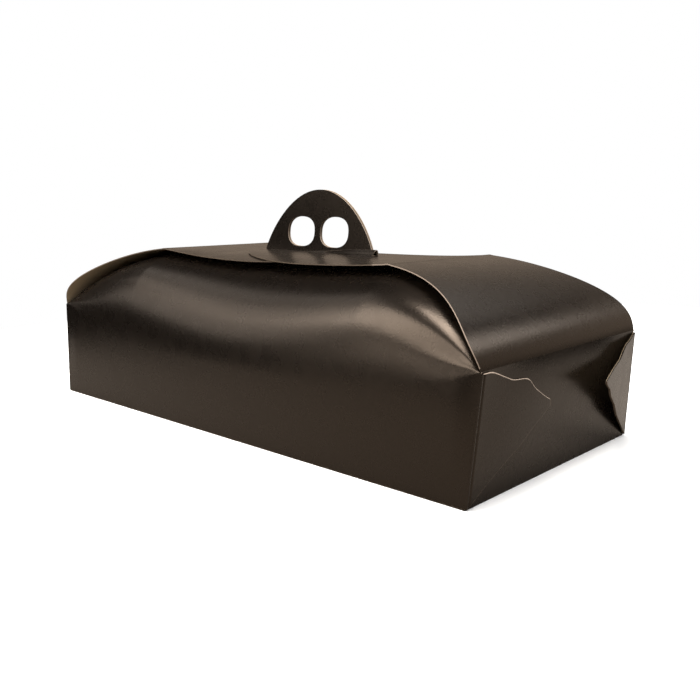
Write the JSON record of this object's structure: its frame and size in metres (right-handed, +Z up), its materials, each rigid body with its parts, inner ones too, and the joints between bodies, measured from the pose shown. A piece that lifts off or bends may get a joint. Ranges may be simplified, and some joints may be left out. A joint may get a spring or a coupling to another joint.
{
  "type": "cake box",
  "caption": "Long low pastry carton folded from dark laminated board, with curved roof flaps, web corners and an upright two-ply handle with finger holes.",
  "frame": {"origin": "middle of the base's underside, on the surface it stands on", "axes": "+Z up, X along the long side with +X towards the end whose flap opens first, Y across"},
  "size_m": [0.4051, 0.1792, 0.1572],
  "materials": {
    "board": "dark brown satin laminate outside, uncoated cream board inside and at the cut edges"
  },
  "bodies": {
    "carton": {"carton": "board"},
    "top_flap": {"top_flap": "board"}
  },
  "joints": [
    {"name": "flap_crease", "type": "hinge", "parent": "carton", "child": "top_flap", "pos_m": [0.1946, 0, 0.0701], "axis": [0, 1, 0], "range_deg": [0, 110]}
  ]
}
